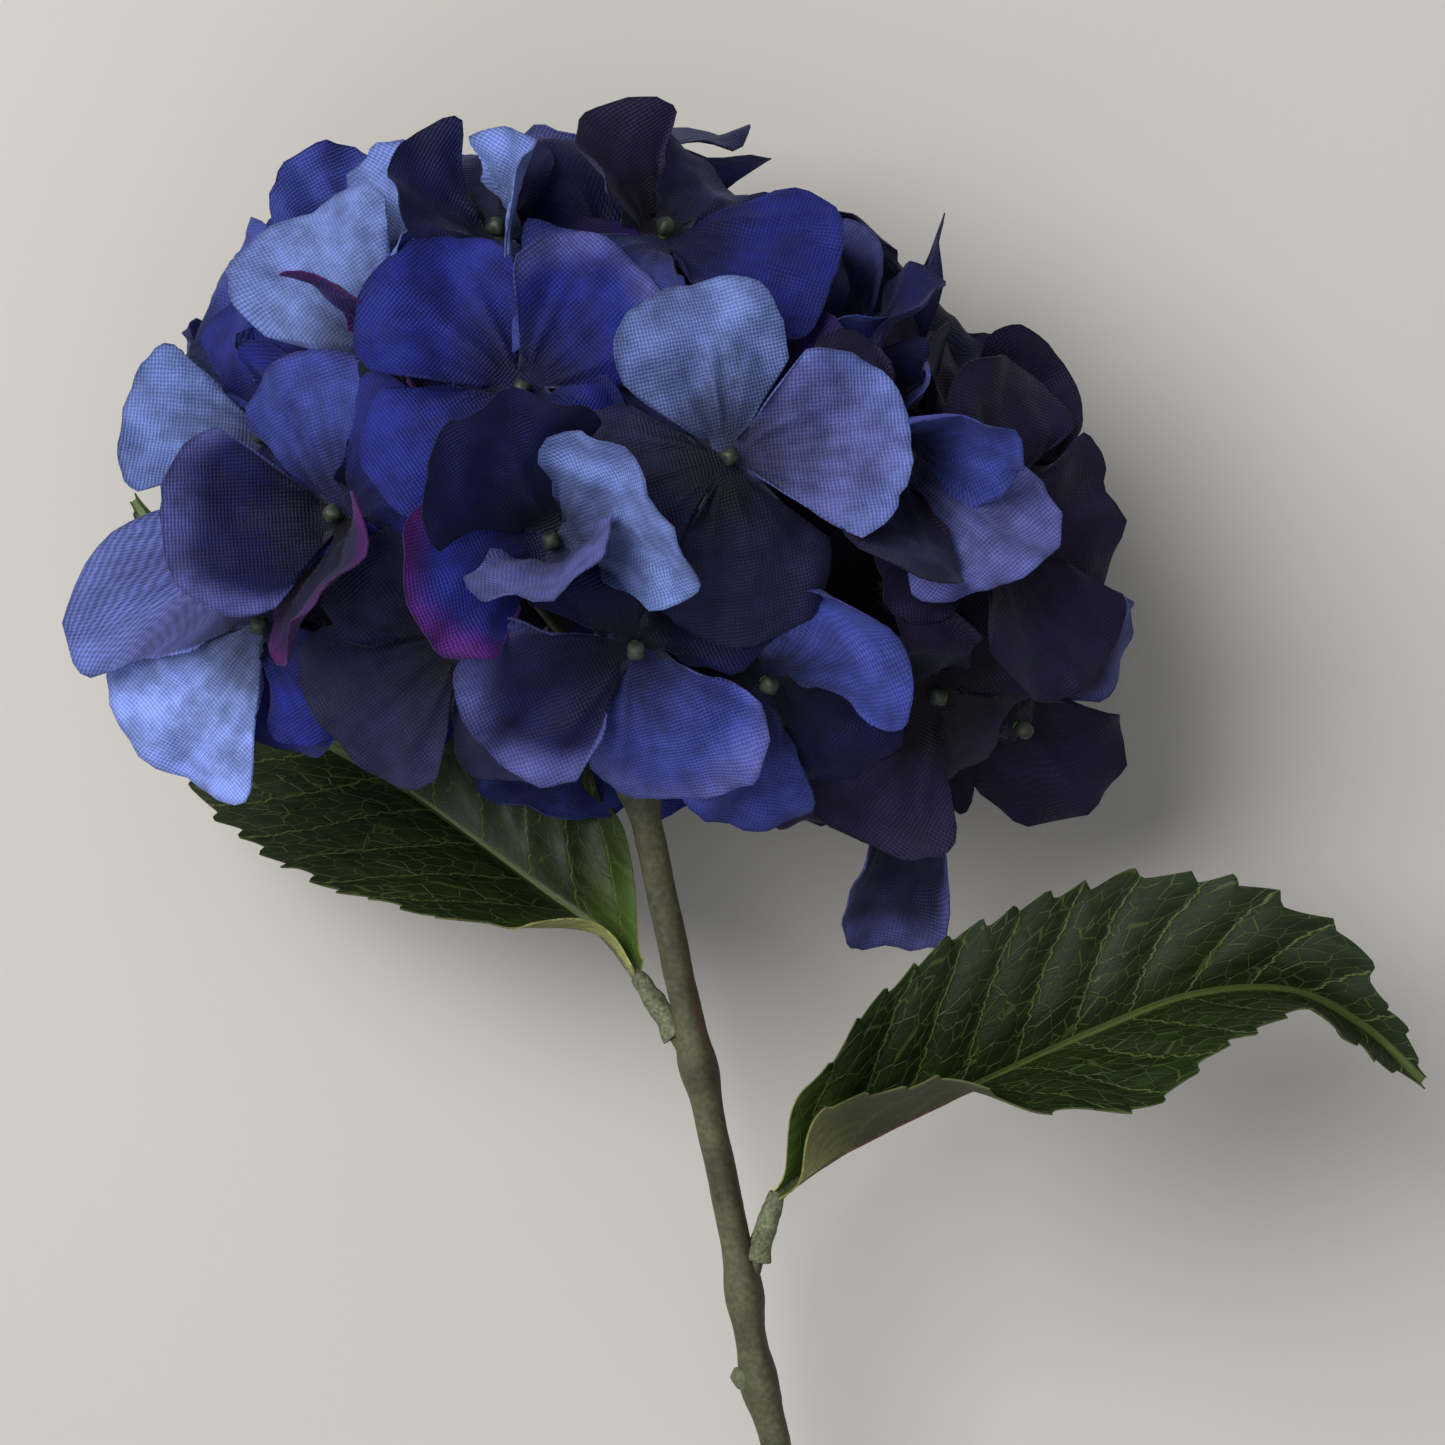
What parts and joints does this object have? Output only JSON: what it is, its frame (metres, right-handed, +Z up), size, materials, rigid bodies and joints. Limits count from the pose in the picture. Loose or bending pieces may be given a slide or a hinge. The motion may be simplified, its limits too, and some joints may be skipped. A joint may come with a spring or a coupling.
{
  "type": "artificial hydrangea stem",
  "caption": "Cut stem of cloth hydrangea lying on its side: a blue mophead of four-petalled florets, two serrated leaves and a wired stem.",
  "frame": {"origin": "middle of the footprint on the table the stem lies on", "axes": "+Z up from the table, +Y along the stem towards the flower head, +X to the right of the head seen from above"},
  "size_m": [0.2418, 0.454, 0.1372],
  "materials": {
    "petal_cloth": "woven polyester, soft sheen, royal blue to violet",
    "leaf_cloth": "coated cloth, embossed veins, satin dark green",
    "stem_plastic": "moulded, matt grey-green with brown streaks",
    "rib_plastic": "moulded, matt grey-green",
    "spray_plastic": "moulded, matt dark green",
    "wire_steel": "drawn steel wire, cut end"
  },
  "bodies": {
    "root": {"floret_01": "petal_cloth", "floret_02": "petal_cloth", "floret_03": "petal_cloth", "floret_04": "petal_cloth", "floret_05": "petal_cloth", "floret_06": "petal_cloth", "floret_07": "petal_cloth", "floret_08": "petal_cloth", "floret_09": "petal_cloth", "floret_10": "petal_cloth", "floret_11": "petal_cloth", "floret_12": "petal_cloth", "floret_13": "petal_cloth", "floret_14": "petal_cloth", "floret_15": "petal_cloth", "floret_16": "petal_cloth", "floret_17": "petal_cloth", "floret_18": "petal_cloth", "floret_19": "petal_cloth", "floret_20": "petal_cloth", "floret_21": "petal_cloth", "floret_22": "petal_cloth", "floret_23": "petal_cloth", "floret_24": "petal_cloth", "floret_25": "petal_cloth", "floret_26": "petal_cloth", "floret_27": "petal_cloth", "floret_28": "petal_cloth", "floret_29": "petal_cloth", "floret_30": "petal_cloth", "floret_31": "petal_cloth", "floret_32": "petal_cloth", "floret_33": "petal_cloth", "floret_34": "petal_cloth", "floret_35": "petal_cloth", "floret_36": "petal_cloth", "floret_37": "petal_cloth", "floret_38": "petal_cloth", "floret_39": "petal_cloth", "leaf_blade_left": "leaf_cloth", "leaf_blade_right": "leaf_cloth", "leaf_rib_left": "rib_plastic", "leaf_rib_right": "rib_plastic", "spray_1": "spray_plastic", "spray_2": "spray_plastic", "spray_3": "spray_plastic", "spray_4": "spray_plastic", "spray_5": "spray_plastic", "spray_6": "spray_plastic", "spray_7": "spray_plastic", "stem": "stem_plastic", "stem_wire": "wire_steel"}
  },
  "joints": []
}
